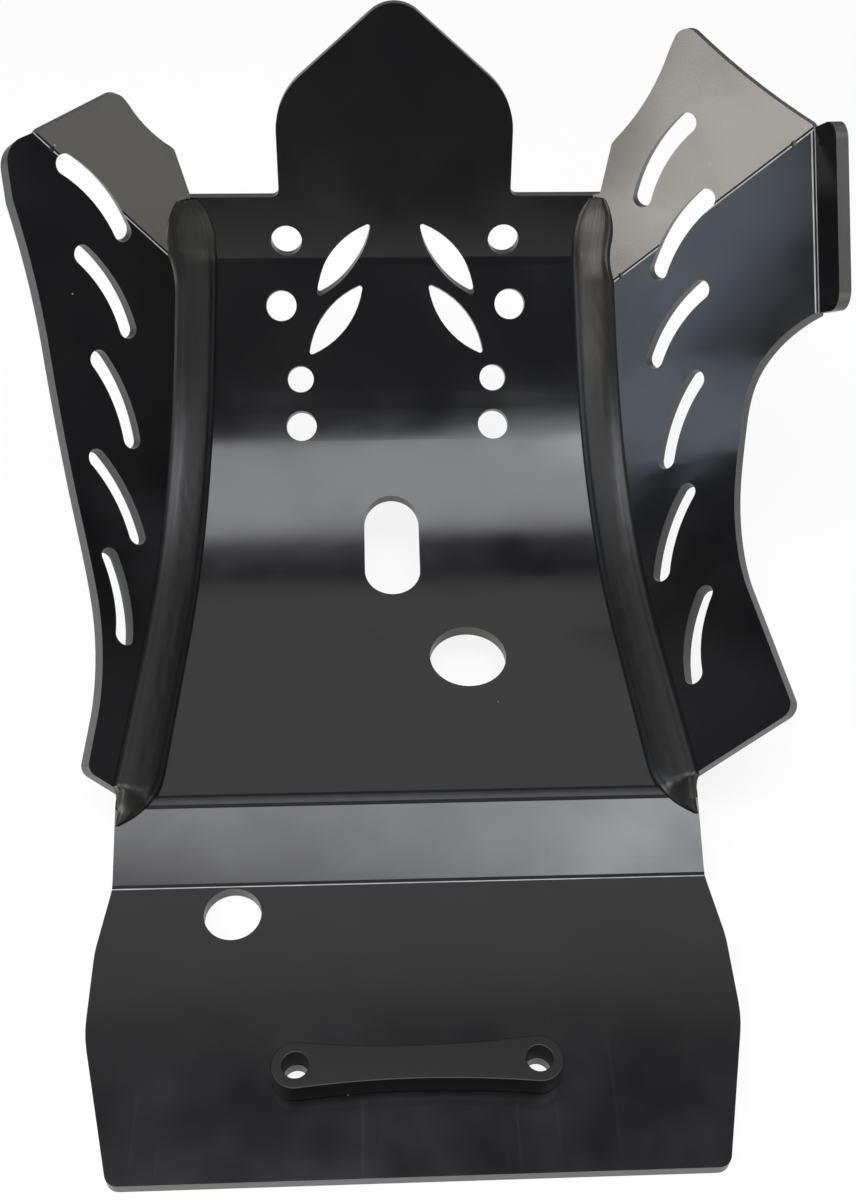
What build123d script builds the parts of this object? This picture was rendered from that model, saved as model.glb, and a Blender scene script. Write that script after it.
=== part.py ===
"""Motorcycle skid plate: a bent plastic sheet with welded, slotted side wings and a spacer for its bolts."""
import os
from math import cos, radians, sin, tan

from build123d import *

# The origin is midway between the rear bolt holes, on top of the spacer. +Y is forward, +Z is up.

# Sheet and rear bolts
sheet_t = 6.35
spacer_t = 12.7
bolt_pitch = 104.2
bolt_hole_d = 11.3

# Side profile of the base, along its top face from rear to front
guard_rear = 44.0
guard_front = 94.6
step_length = 41.4
step_angle = 23.0
floor_length = 101.0
roll_radius = 196.0
roll_angle = 49.0
ramp_length = 53.4
tongue_angle = 76.0
tongue_length = 140.0
upper_crease_r = 10.0
lower_crease_r = 2.5
front_bend_r = 12.0

# Wing stance, shared by both sides
wing_foot = 131.0
wing_splay = 45.0
wing_toe_in = 4.18
wing_root = 2.0
wing_run_out = 60.0
outline_along = 185.0

# Plan outline of the base
rear_half_w = 129.0
rear_corner_r = 6.0
guard_half_w = 145.4
guard_widest_y = 22.0
guard_narrows_y = 62.0
guard_side_r = 60.0
step_half_w = 140.8
base_lip = 1.0
base_half_w = wing_foot + sheet_t / cos(radians(wing_splay)) + base_lip

# Tongue at the front: shoulders measured from the front bend, the tongue from its shoulders
shoulder_up = 37.0
tongue_half_w = 63.0
tongue_side_up = 52.0
tongue_peak_up = 105.6
tongue_side_r = 37.0
tongue_peak_r = 19.0
shoulder_r = 4.0

# Openings of the base, placed along its face from the upper crease
vent_rows = ((334.5, 60.0, 17.0), (298.4, 64.0, 17.0), (257.6, 54.1, 14.7), (231.3, 54.0, 17.0))
gill_rows = ((324.6, 28.8), (290.3, 33.7))
gill_length = 50.0
gill_width = 14.5
gill_lean = 52.0
gill_tip_r = 1.5
centre_slot_along = 159.8
centre_slot_x = -4.5
centre_slot_length = 60.5
centre_slot_width = 30.3
drain_along = 86.7
drain_x = 33.8
drain_d = 40.0
access_x = -83.5
access_y = 79.8
access_d = 26.8

# Curved slots and bend marks of the wings
right_slots = ((282.4, 52.8, 40.8), (222.2, 52.1, 30.1), (149.0, 37.8, 32.8), (76.3, 35.6, 24.4))
left_slots = ((301.7, 57.6, 37.4), (240.1, 51.1, 29.4), (176.1, 45.1, 40.6), (109.5, 35.6, 23.3))
right_facet_slots = ((63.9, -2.6, 19.8), (78.1, 34.4, 20.2))
left_facet_slots = ((74.1, -4.4, 7.9),)
slot_length = 56.0
slot_width = 10.5
slot_sag = 3.5
bend_mark_d = 3.0
bend_mark_depth = 1.5
bend_mark_in = 21.0
bend_mark_out = 10.8

# Bend between a wing's lower and upper facets: where it starts along the foot, its lean and its turn
right_bend = (302.3, 27.6, 16.0)
left_bend = (313.2, 32.6, 20.0)
right_bend_length = 149.6
left_bend_length = 117.4

# Outlines of the lower parts of the wings, seen square to the middle of the roll
right_rear_foot = (-173.9, 34.0)
right_rear_top = (-147.2, 107.8)
right_dip = ((-75.1, 82.3), (-21.1, 77.5), (9.4, 85.3), (36.2, 98.9), (53.4, 133.4), (54.6, 144.0))
right_rear_r = 6.5
left_rear_foot = (-176.3, 34.0)
left_rear_top = (-162.5, 69.6)
left_dip = ((-133.0, 61.2), (-98.5, 55.7), (-71.5, 55.9), (-19.1, 67.6), (42.3, 92.5), (116.3, 140.9))
left_front_top = (138.3, 152.6)
left_front_fall = (170.0, 120.0)
left_rear_r = 5.0
left_front_r = 13.0
outline_margin = 60.0

# Outlines of the upper facets, measured along and across the bend
facet_lap = 12.0
facet_root = 6.0
right_facet_foot = ((-1.5, 26.0), (32.0, 45.5), (37.8, 42.4), (59.4, 59.2), (62.9, 59.9))
right_facet_brow = (84.2, 63.9)
right_facet_crest = (112.8, 76.7)
right_facet_tip = (127.2, 84.1)
right_facet_side = (136.7, 44.3)
left_facet_foot = ((-2.5, 14.0), (34.4, 32.0), (56.6, 43.4), (59.2, 43.4))
left_facet_brow = (70.7, 41.8)
left_facet_crest = (90.5, 43.6)
left_facet_tip = (99.5, 44.9)
facet_tip_r = 7.0

# Right wing: flange along its outer edge
flange_start = 281.8
flange_run = 91.0
flange_reach = 133.9
flange_length = 24.0
flange_turn = 40.0
flange_corner_r = 10.0

# Weld beads
bead_foot = 11.0
bead_rise = 13.0
bead_crown = 4.0
bead_root = 1.5
bead_tail_root = 6.0
bead_bend_r = 40.0
bead_end_up = 22.0
bead_tip_up = 35.0
bead_tip_scale = 0.35
bead_tail_turn = 120.0

# Spacer
lobe_d = 21.0
waist_w = 14.4
waist_r = 6.0

# Points of the side profile
guard_z = -spacer_t
upper_crease_y = guard_front + step_length * cos(radians(step_angle))
floor_z = guard_z + step_length * sin(radians(step_angle))
roll_y = floor_length + roll_radius * sin(radians(roll_angle))
roll_z = roll_radius * (1 - cos(radians(roll_angle)))
bend_y = roll_y + ramp_length * cos(radians(roll_angle))
bend_z = roll_z + ramp_length * sin(radians(roll_angle))
roll_length = roll_radius * radians(roll_angle)
bend_along = floor_length + roll_length + ramp_length


def profile(along, straight_on=False):
    """Distance forward of the upper crease, height over the floor and slope at a place along the top face."""
    roll_end = floor_length + roll_length
    if along <= floor_length:
        return along, 0.0, 0.0
    if along <= roll_end:
        turn = (along - floor_length) / roll_radius
        return floor_length + roll_radius * sin(turn), roll_radius * (1 - cos(turn)), turn
    if along <= bend_along or straight_on:
        rest, slope = along - roll_end, radians(roll_angle)
        return roll_y + rest * cos(slope), roll_z + rest * sin(slope), slope
    rest, slope = along - bend_along, radians(tongue_angle)
    return bend_y + rest * cos(slope), bend_z + rest * sin(slope), slope


def face_plane(along, across=0.0, turn=0.0):
    """Plane on the base's top face at a place along it, with x across the base and y up its slope."""
    forward, height, slope = profile(along)
    origin = (across, upper_crease_y + forward, floor_z + height)
    turned = Vector(1, 0, 0) * cos(radians(turn)) + Vector(0, cos(slope), sin(slope)) * sin(radians(turn))
    return Plane(origin=origin, x_dir=turned, z_dir=(0, -sin(slope), cos(slope)))


# Base plate: one sheet, bent to its side profile and cut to its plan outline
with BuildPart() as base_plate:
    with BuildSketch(Plane.YZ) as base_section:
        with BuildLine() as base_line:
            FilletPolyline(
                (-guard_rear, guard_z),
                (guard_front, guard_z),
                (upper_crease_y, floor_z),
                (upper_crease_y + floor_length, floor_z),
                radius=(lower_crease_r, upper_crease_r),
            )
            roll = JernArc((upper_crease_y + floor_length, floor_z), (1, 0), roll_radius, roll_angle)
            bend = (upper_crease_y + bend_y, floor_z + bend_z)
            peak = PolarLine(bend, tongue_length, tongue_angle, mode=Mode.PRIVATE) @ 1
            FilletPolyline(roll @ 1, bend, peak, radius=front_bend_r)
            offset(amount=sheet_t, side=Side.RIGHT)
        make_face()
    extrude(amount=2 * guard_half_w, both=True)

    with BuildSketch(Plane.XY) as plan:
        with BuildLine() as plan_line:
            front_y = upper_crease_y + bend_y + tongue_length
            front_half_w = base_half_w - (front_y - upper_crease_y) * tan(radians(wing_toe_in))
            FilletPolyline(
                (0, -guard_rear),
                (rear_half_w, -guard_rear),
                (guard_half_w, guard_widest_y),
                (guard_half_w, guard_narrows_y),
                (step_half_w, guard_front),
                (base_half_w, upper_crease_y),
                (front_half_w, front_y),
                (0, front_y),
                radius=(rear_corner_r, guard_side_r, guard_side_r, guard_side_r, guard_side_r, rear_corner_r),
            )
            mirror(about=Plane.YZ)
        make_face()
    extrude(amount=2 * tongue_length + bend_z, both=True, mode=Mode.INTERSECT)

    # Tongue outline above the shoulders
    with BuildSketch(face_plane(bend_along + shoulder_up)) as shoulders:
        with Locations((0, tongue_length)):
            Rectangle(2 * guard_half_w, 2 * tongue_length)
        with BuildLine() as tongue_line:
            FilletPolyline(
                (-tongue_half_w, 0),
                (-tongue_half_w, tongue_side_up),
                (0, tongue_peak_up),
                (tongue_half_w, tongue_side_up),
                (tongue_half_w, 0),
                radius=(tongue_side_r, tongue_peak_r, tongue_side_r),
            )
            Line((tongue_half_w, 0), (-tongue_half_w, 0))
        make_face(mode=Mode.SUBTRACT)
        roots = shoulders.vertices().group_by(Axis.Y)[0].sort_by(Axis.X)[1:3]
        fillet(roots, shoulder_r)
    extrude(amount=4 * sheet_t, both=True, mode=Mode.SUBTRACT)

    # Round vents in four rows
    for along, half_pitch, vent_d in vent_rows:
        with BuildSketch(face_plane(along)):
            with Locations((-half_pitch, 0), (half_pitch, 0)):
                Circle(vent_d / 2)
        extrude(amount=2 * sheet_t, both=True, mode=Mode.SUBTRACT)

    # Lens-shaped gills, leaning in at the top
    for along, half_pitch in gill_rows:
        for side in (-1, 1):
            with BuildSketch(face_plane(along, side * half_pitch, -side * gill_lean)) as gill:
                with BuildLine() as gill_line:
                    ThreePointArc((-gill_length / 2, 0), (0, gill_width / 2), (gill_length / 2, 0))
                    ThreePointArc((-gill_length / 2, 0), (0, -gill_width / 2), (gill_length / 2, 0))
                make_face()
                fillet(gill.vertices(), gill_tip_r)
            extrude(amount=2 * sheet_t, both=True, mode=Mode.SUBTRACT)

    # Centre slot, drain opening, access hole and bolt holes
    with BuildSketch(face_plane(centre_slot_along, centre_slot_x)):
        SlotOverall(centre_slot_length, centre_slot_width, rotation=90)
    extrude(amount=2 * sheet_t, both=True, mode=Mode.SUBTRACT)
    with BuildSketch(face_plane(drain_along, drain_x)):
        Circle(drain_d / 2)
    extrude(amount=2 * sheet_t, both=True, mode=Mode.SUBTRACT)
    with BuildSketch(Plane.XY.offset(guard_z)):
        with Locations((access_x, access_y)):
            Circle(access_d / 2)
        with Locations((-bolt_pitch / 2, 0), (bolt_pitch / 2, 0)):
            Circle(bolt_hole_d / 2)
    extrude(amount=2 * sheet_t, both=True, mode=Mode.SUBTRACT)

# Spacer under the rear bolts
with BuildPart() as spacer_strip:
    with BuildSketch(Plane.XY.offset(guard_z)) as dog_bone:
        Rectangle(bolt_pitch, waist_w)
        with Locations((-bolt_pitch / 2, 0), (bolt_pitch / 2, 0)):
            Circle(lobe_d / 2)
        necks = dog_bone.vertices().filter_by_position(Axis.X, -bolt_pitch / 2, bolt_pitch / 2)
        fillet(necks, waist_r)
        with Locations((-bolt_pitch / 2, 0), (bolt_pitch / 2, 0)):
            Circle(bolt_hole_d / 2, mode=Mode.SUBTRACT)
    extrude(amount=spacer_t)

# Directions of a right-hand wing: along its foot, level outward, and up
toe = radians(wing_toe_in)
splay = radians(wing_splay)
foot_dir = Vector(-sin(toe), cos(toe), 0)
out_dir = Vector(cos(toe), sin(toe), 0)
up_dir = Vector(0, 0, 1)
wing_corner = Vector(wing_foot, upper_crease_y, floor_z)
wing_side = Plane(origin=wing_corner, x_dir=foot_dir, z_dir=out_dir)
wing_end = Plane(origin=wing_corner, x_dir=out_dir, z_dir=-foot_dir)


def wing_axes(slope):
    """Directions of a wing where the profile has a slope: along its foot, up its face and out through it."""
    run = foot_dir * cos(slope) + up_dir * sin(slope)
    normal = up_dir * cos(slope) - foot_dir * sin(slope)
    rise = normal * cos(splay) + out_dir * sin(splay)
    through = out_dir * cos(splay) - normal * sin(splay)
    return run, rise, through


def wing_plane(along, reach, turn=0.0):
    """Plane on a wing's inner face, with x along its foot, y up its face and z out through it."""
    forward, height, slope = profile(along, straight_on=True)
    run, rise, through = wing_axes(slope)
    origin = wing_corner + foot_dir * forward + up_dir * height + rise * reach
    turned = run * cos(radians(turn)) + rise * sin(radians(turn))
    return Plane(origin=origin, x_dir=turned, z_dir=through)


def facet_planes(wing_bend):
    """Plane of a wing's upper facet, with x along the bend, and the plane halfway through the bend."""
    along, lean, turn = wing_bend[0], radians(wing_bend[1]), radians(wing_bend[2])
    run, rise, through = wing_axes(radians(roll_angle))
    bend_dir = rise * cos(lean) + run * sin(lean)
    across_dir = run * cos(lean) - rise * sin(lean)
    start = wing_plane(along, 0).origin
    facet = Plane(origin=start, x_dir=bend_dir, z_dir=-(through * cos(turn) + across_dir * sin(turn)))
    middle = across_dir * cos(turn / 2) - through * sin(turn / 2)
    return facet, Plane(origin=start, x_dir=bend_dir, z_dir=middle)


def halfway_face(wing_bend):
    """Plane along a wing's bend, square to the plane halfway through it."""
    halfway = facet_planes(wing_bend)[1]
    return Plane(origin=halfway.origin, x_dir=halfway.x_dir, z_dir=halfway.y_dir)


def wing_blank(wing_bend):
    """Lower part of a wing before its outline is cut: a sheet along the base's floor, roll and ramp."""
    with BuildPart() as blank:
        with BuildLine(wing_side) as foot_line:
            half = radians(roll_angle / 2)
            end_y, end_z, end_slope = profile(bend_along + flange_run, straight_on=True)
            Line((-wing_run_out, 0), (floor_length, 0))
            ThreePointArc(
                (floor_length, 0),
                (floor_length + roll_radius * sin(half), roll_radius * (1 - cos(half))),
                (roll_y, roll_z),
            )
            Line((roll_y, roll_z), (end_y, end_z))
        with BuildSketch(wing_end.offset(wing_run_out)) as sheet_section:
            with BuildLine() as sheet_line:
                bottom = Vector(sin(splay), cos(splay)) * -wing_root
                top = Vector(sin(splay), cos(splay)) * flange_reach
                thick = Vector(cos(splay), -sin(splay)) * sheet_t
                Polyline(bottom, top, top + thick, bottom + thick, close=True)
            make_face()
        sweep(path=foot_line.line)
        split(bisect_by=facet_planes(wing_bend)[1], keep=Keep.BOTTOM)
    return blank.part


# Space under the base's top face from the floor to the shoulders, which the wings stand on
with BuildPart() as under_base:
    with BuildSketch(Plane.YZ) as under_section:
        with BuildLine() as under_line:
            Line((upper_crease_y - wing_run_out, floor_z), (upper_crease_y + floor_length, floor_z))
            roll = JernArc((upper_crease_y + floor_length, floor_z), (1, 0), roll_radius, roll_angle)
            shoulder = PolarLine(bend, shoulder_up, tongue_angle, mode=Mode.PRIVATE) @ 1
            FilletPolyline(roll @ 1, bend, shoulder, radius=front_bend_r)
            offset(amount=2 * outline_margin, side=Side.RIGHT)
        make_face()
    extrude(amount=2 * guard_half_w, both=True)

# Curved slot that repeats along the wings
slot_half = (slot_length - slot_width) / 2
slot_line = ThreePointArc((-slot_half, 0), (0, -slot_sag), (slot_half, 0))

# Right wing: upper facet, cut square to its face and trimmed at the bend
with BuildPart() as right_facet:
    facet, halfway = facet_planes(right_bend)
    with BuildSketch(facet) as right_facet_outline:
        with BuildLine() as right_facet_line:
            right_end = (right_bend_length, -facet_lap)
            Polyline(right_end, (-facet_root, -facet_lap), (-facet_root, 0), *right_facet_foot)
            ThreePointArc(right_facet_foot[-1], right_facet_brow, right_facet_crest)
            Line(right_facet_crest, right_facet_tip)
            ThreePointArc(right_facet_tip, right_facet_side, (right_bend_length + 2, 2))
            Line((right_bend_length + 2, 2), right_end)
        make_face()
        fillet(right_facet_outline.vertices().sort_by_distance(right_facet_tip)[0], facet_tip_r)
    extrude(amount=-sheet_t)
    split(bisect_by=halfway, keep=Keep.TOP)

with BuildPart() as right_wing:
    add(wing_blank(right_bend))
    with BuildSketch(wing_plane(outline_along, 0)) as right_outline:
        with BuildLine() as right_line:
            Polyline(right_rear_foot, right_rear_top, right_dip[0])
            Spline(*right_dip)
            high = right_dip[-1][1] + outline_margin
            front = outline_margin - right_rear_foot[0]
            Polyline(
                right_dip[-1],
                (right_dip[-1][0], high),
                (front, high),
                (front, -outline_margin),
                (right_rear_foot[0], -outline_margin),
                right_rear_foot,
            )
        make_face()
        fillet(right_outline.vertices().sort_by_distance(right_rear_top)[0], right_rear_r)
    extrude(amount=flange_reach, both=True, mode=Mode.INTERSECT)
    add(right_facet.part)
    # Flange bent in along the outer edge
    run, rise, through = wing_axes(radians(roll_angle))
    turn = radians(flange_turn)
    flange_origin = wing_plane(flange_start, flange_reach).origin
    with BuildSketch(Plane(origin=flange_origin, x_dir=rise, z_dir=run)) as flange_section:
        with BuildLine() as flange_line:
            tip = Vector(cos(turn), -sin(turn)) * flange_length
            thick = Vector(sin(turn), cos(turn)) * sheet_t
            outer_bend = (sheet_t * tan(turn / 2), sheet_t)
            Polyline((0, 0), tip, tip + thick, outer_bend, (0, sheet_t), close=True)
        make_face()
    extrude(amount=flange_run)
    free_corners = right_wing.edges().filter_by(Axis(flange_origin, through * cos(turn) + rise * sin(turn)))
    fillet(free_corners, flange_corner_r)
    for along, reach, lean in right_slots:
        with BuildSketch(wing_plane(along, reach, lean)):
            SlotArc(slot_line, slot_width)
        extrude(amount=2 * sheet_t, both=True, mode=Mode.SUBTRACT)
    for bend_x, bend_up, lean in right_facet_slots:
        with BuildSketch(facet):
            with Locations((bend_x, bend_up)):
                SlotArc(slot_line, slot_width, rotation=180 + lean)
        extrude(amount=2 * sheet_t, both=True, mode=Mode.SUBTRACT)
    with BuildSketch(halfway_face(right_bend)):
        with Locations((bend_mark_in, 0), (right_bend_length - bend_mark_out, 0)):
            Circle(bend_mark_d / 2)
    extrude(amount=bend_mark_depth, both=True, mode=Mode.SUBTRACT)
    add(under_base.part, mode=Mode.SUBTRACT)

# Left wing, made right-handed and then mirrored
with BuildPart() as left_facet:
    facet, halfway = facet_planes(left_bend)
    with BuildSketch(facet) as left_facet_outline:
        with BuildLine() as left_facet_line:
            left_end = (left_bend_length, -facet_lap)
            Polyline(left_end, (-facet_root, -facet_lap), (-facet_root, 0), *left_facet_foot)
            ThreePointArc(left_facet_foot[-1], left_facet_brow, left_facet_crest)
            Polyline(left_facet_crest, left_facet_tip, (left_bend_length, 2), left_end)
        make_face()
        fillet(left_facet_outline.vertices().sort_by_distance(left_facet_tip)[0], facet_tip_r)
    extrude(amount=-sheet_t)
    split(bisect_by=halfway, keep=Keep.TOP)

with BuildPart() as left_hand:
    add(wing_blank(left_bend))
    with BuildSketch(wing_plane(outline_along, 0)) as left_outline:
        with BuildLine() as left_line:
            Polyline(left_rear_foot, left_rear_top, left_dip[0])
            Spline(*left_dip)
            Polyline(
                left_dip[-1],
                left_front_top,
                left_front_fall,
                (left_front_fall[0], -outline_margin),
                (left_rear_foot[0], -outline_margin),
                left_rear_foot,
            )
        make_face()
        fillet(left_outline.vertices().sort_by_distance(left_front_top)[0], left_front_r)
        fillet(left_outline.vertices().sort_by_distance(left_rear_top)[0], left_rear_r)
    extrude(amount=flange_reach, both=True, mode=Mode.INTERSECT)
    add(left_facet.part)
    for along, reach, lean in left_slots:
        with BuildSketch(wing_plane(along, reach, lean)):
            SlotArc(slot_line, slot_width)
        extrude(amount=2 * sheet_t, both=True, mode=Mode.SUBTRACT)
    for bend_x, bend_up, lean in left_facet_slots:
        with BuildSketch(facet):
            with Locations((bend_x, bend_up)):
                SlotArc(slot_line, slot_width, rotation=180 + lean)
        extrude(amount=2 * sheet_t, both=True, mode=Mode.SUBTRACT)
    with BuildSketch(halfway_face(left_bend)):
        with Locations((bend_mark_in, 0), (left_bend_length - bend_mark_out, 0)):
            Circle(bend_mark_d / 2)
    extrude(amount=bend_mark_depth, both=True, mode=Mode.SUBTRACT)
    add(under_base.part, mode=Mode.SUBTRACT)

with BuildPart() as left_wing:
    mirror(left_hand.part, about=Plane.YZ)


def bead_section(plane, scale=1.0):
    """Section of a weld bead in the corner between base and wing, with its root inside both."""
    with BuildSketch(plane) as section:
        with BuildLine() as section_line:
            foot = Vector(-bead_foot, 0) * scale
            head = Vector(sin(splay), cos(splay)) * bead_rise * scale
            across = (head - foot).normalized()
            crown = (foot + head) * 0.5 + Vector(-across.Y, across.X) * bead_crown * scale
            head_root = head + Vector(cos(splay), -sin(splay)) * bead_root
            ThreePointArc(foot, crown, head)
            Polyline(head, head_root, (bead_root, -bead_root), foot - Vector(0, bead_root), foot)
        make_face()
    return section.sketch


# Weld bead along a right-hand wing, from a round tail behind it to a pinched end at the shoulder
with BuildPart() as bead_blank:
    with BuildLine(wing_side) as bead_line:
        half = radians(roll_angle / 2)
        turn = radians(tongue_angle - roll_angle) / 2
        back = bead_bend_r * tan(turn)
        mean = radians(roll_angle) + turn
        inset = bead_bend_r / cos(turn) - bead_bend_r
        ramp_y, ramp_z, ramp_slope = profile(bend_along - back)
        front_y, front_z, front_slope = profile(bend_along + back)
        end_y, end_z, end_slope = profile(bend_along + bead_end_up)
        Line((0, 0), (floor_length, 0))
        ThreePointArc(
            (floor_length, 0),
            (floor_length + roll_radius * sin(half), roll_radius * (1 - cos(half))),
            (roll_y, roll_z),
        )
        Line((roll_y, roll_z), (ramp_y, ramp_z))
        bend_middle = (bend_y - inset * sin(mean), bend_z + inset * cos(mean))
        ThreePointArc((ramp_y, ramp_z), bend_middle, (front_y, front_z))
        Line((front_y, front_z), (end_y, end_z))
    sweep(sections=bead_section(wing_end), path=bead_line.line)
    # Pinched front end
    run = foot_dir * cos(end_slope) + up_dir * sin(end_slope)
    end_point = wing_corner + foot_dir * end_y + up_dir * end_z
    end_plane = Plane(origin=end_point, x_dir=out_dir, z_dir=-run)
    tip_plane = Plane(origin=end_point + run * (bead_tip_up - bead_end_up), x_dir=out_dir, z_dir=-run)
    loft(sections=[bead_section(end_plane), bead_section(tip_plane, bead_tip_scale)])
    # Round tail that turns behind the wing
    with BuildSketch(wing_end) as tail_section:
        with BuildLine() as tail_line:
            CenterArc((0, 0), bead_foot, start_angle=90, arc_size=90)
            Polyline(
                (0, bead_foot),
                (0, -bead_tail_root),
                (-bead_foot, -bead_tail_root),
                (-bead_foot, 0),
            )
        make_face()
    revolve(tail_section.sketch, axis=Axis(wing_corner, (0, 0, 1)), revolution_arc=bead_tail_turn)

with BuildPart() as right_weld_bead:
    add(bead_blank.part)
    add(base_plate.part, mode=Mode.SUBTRACT)
    add(right_wing.part, mode=Mode.SUBTRACT)
    add(right_weld_bead.solids().sort_by(SortBy.VOLUME)[-1], mode=Mode.REPLACE)

with BuildPart() as left_weld_bead:
    mirror(bead_blank.part, about=Plane.YZ)
    add(base_plate.part, mode=Mode.SUBTRACT)
    add(left_wing.part, mode=Mode.SUBTRACT)
    add(left_weld_bead.solids().sort_by(SortBy.VOLUME)[-1], mode=Mode.REPLACE)

base_plate.part.label = "base_plate"
left_wing.part.label = "left_wing"
right_wing.part.label = "right_wing"
left_weld_bead.part.label = "left_weld_bead"
right_weld_bead.part.label = "right_weld_bead"
spacer_strip.part.label = "spacer_strip"

os.makedirs("parts", exist_ok=True)
export_step(base_plate.part, "parts/base_plate.step")
export_step(left_wing.part, "parts/left_wing.step")
export_step(right_wing.part, "parts/right_wing.step")
export_step(left_weld_bead.part, "parts/left_weld_bead.step")
export_step(right_weld_bead.part, "parts/right_weld_bead.step")
export_step(spacer_strip.part, "parts/spacer_strip.step")
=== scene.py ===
"""Motorcycle skid plate: the bent sheet, its slotted wings, weld beads and spacer, dressed and lit."""

from math import cos, pi, radians, sin

import bmesh
import bpy
from bpy.props import FloatProperty, FloatVectorProperty, PointerProperty
from mathutils import Matrix, Vector, noise
from mathutils.bvhtree import BVHTree


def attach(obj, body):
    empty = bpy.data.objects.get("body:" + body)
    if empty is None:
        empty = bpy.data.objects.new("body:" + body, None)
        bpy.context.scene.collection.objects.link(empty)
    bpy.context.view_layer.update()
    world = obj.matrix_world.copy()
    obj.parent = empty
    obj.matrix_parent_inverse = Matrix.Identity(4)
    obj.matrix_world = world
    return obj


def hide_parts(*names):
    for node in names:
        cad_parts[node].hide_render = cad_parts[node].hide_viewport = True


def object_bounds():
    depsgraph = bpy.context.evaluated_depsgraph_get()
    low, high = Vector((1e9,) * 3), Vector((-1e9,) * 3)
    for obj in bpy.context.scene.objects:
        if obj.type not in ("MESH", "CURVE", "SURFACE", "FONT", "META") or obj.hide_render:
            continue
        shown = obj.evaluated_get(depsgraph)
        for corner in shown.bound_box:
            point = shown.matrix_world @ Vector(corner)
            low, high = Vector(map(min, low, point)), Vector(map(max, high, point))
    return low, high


bl_info = {
    "name": "Skid plate",
    "version": (1, 0, 0),
    "blender": (4, 5, 0),
    "location": "View3D > Sidebar > Skid plate",
    "description": "Dresses a motorcycle skid plate and sets it in a small studio",
    "category": "Object",
}

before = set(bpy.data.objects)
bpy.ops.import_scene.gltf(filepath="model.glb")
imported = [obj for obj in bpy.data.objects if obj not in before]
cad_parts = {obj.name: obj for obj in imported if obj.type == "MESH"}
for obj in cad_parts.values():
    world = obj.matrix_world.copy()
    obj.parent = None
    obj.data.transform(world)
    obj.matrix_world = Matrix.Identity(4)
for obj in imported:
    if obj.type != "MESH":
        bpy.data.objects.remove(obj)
cad_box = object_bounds()

MM = 0.001

# Side profile that the weld beads follow, from the upper crease forward, and the line of the wings' feet
CREASE = Vector((0.0, 132.71, 3.48)) * MM
GUARD_FRONT = 94.6 * MM
FLOOR_LENGTH = 101.0 * MM
ROLL_RADIUS = 196.0 * MM
ROLL_ANGLE = radians(49)
ROLL_LENGTH = ROLL_RADIUS * ROLL_ANGLE
RAMP_LENGTH = 53.4 * MM
TONGUE_ANGLE = radians(76)
WING_FOOT = 131.0 * MM
WING_TOE_IN = radians(4.18)

# Angles over which an edge is eased or shown sharp, and under which faces lie flat with each other
EASED_ANGLE = radians(50)
SHARP_ANGLE = radians(40)
FLAT_ANGLE = radians(0.3)

# Gaps under which points are joined, a cut meets a corner, and a face still lies on a strip's plane
JOIN_GAP = 0.002 * MM
SLICE_GAP = 0.0005 * MM
STRIP_GAP = 0.3 * MM

# A broad face has another behind it at the sheet's thickness, give or take a share, that looks away from
# it, seen from just under the face; cosines tell which faces look the same way
THICKNESS_SLACK = 0.12
UNDER_FACE = 0.01 * MM
BACK_TO_BACK = 0.95
RUNS_ON = 0.99
SAME_PLANE = 0.995

# Shortest edge that can be a bend, and how far rays look for the base and the wing
LEAST_BEND = 4 * MM
OVER_BASE = 30 * MM
INSIDE_WING = 14 * MM
WING_REACH = 40 * MM

# Places of the materials on a piece of sheet and on the spacer; three of the sheet's are painted: dark
# lines of painted shade and pale lines of painted highlight along the bends and creases, and a dimmer
# painted highlight across the upper crease
PRESSED, CUT, PAINTED_SHADE, PAINTED_HIGHLIGHT, PAINTED_CREASE_HIGHLIGHT = range(5)
MOULDED, BORE = range(2)

# Pieces of sheet with the nodes that they replace, and the way along x to a wing's inner side
SHEETS = (
    ("base_sheet", "base_plate", 0),
    ("left_wing_sheet", "left_wing", 1),
    ("right_wing_sheet", "right_wing", -1),
)

# Bands of painted shade and painted highlight across the base along its creases: the crease, where the band
# starts and ends from it, its material
CREASE_BANDS = (
    (CREASE.y, -3.6 * MM, -1.9 * MM, PAINTED_SHADE),
    (CREASE.y, -1.9 * MM, 1.6 * MM, PAINTED_CREASE_HIGHLIGHT),
    (CREASE.y, 1.6 * MM, 3.1 * MM, PAINTED_SHADE),
    (GUARD_FRONT, -0.6 * MM, -0.1 * MM, PAINTED_HIGHLIGHT),
    (GUARD_FRONT, -0.1 * MM, 1.4 * MM, PAINTED_SHADE),
)

# Shallow and steep bends of the wings: the least and most angle between the faces, and the strips of
# painted shade and painted highlight along the bend, first on the face that looks further back, from and to
# in line widths and with a material
WING_BENDS = (
    (radians(14), radians(25), ((0, 1, PAINTED_SHADE),), ((0, 0.7, PAINTED_HIGHLIGHT),)),
    (
        radians(35), radians(45),
        ((0, 0.8, PAINTED_SHADE), (0.8, 1.6, PAINTED_HIGHLIGHT)),
        ((0, 0.6, PAINTED_SHADE), (0.6, 1.6, PAINTED_HIGHLIGHT)),
    ),
)

# A weld bead is laid in sections, from behind the upper crease to above the front bend
BEAD_STEPS = 24
BEAD_STATIONS = 170
BEAD_TAIL = 11.5 * MM
BEAD_TIP = FLOOR_LENGTH + ROLL_LENGTH + RAMP_LENGTH + 35.5 * MM

# Its course is averaged over these steps to each side, which eases it round the bends
EASE_STEP = 2 * MM
EASE_STEPS = 8

# At the rear it turns out to the base's edge and dies away: where the turn starts, how late it comes, where
# the two edges end outside the wing's foot, and how fast the head and the crown sink
BEAD_TURN = 22.0 * MM
TURN_CURVE = 3.5
TAIL_INNER = 7.0 * MM
TAIL_OUTER = 8.6 * MM
TAIL_FALL = 1.7
TAIL_CROWN = 0.8

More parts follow.
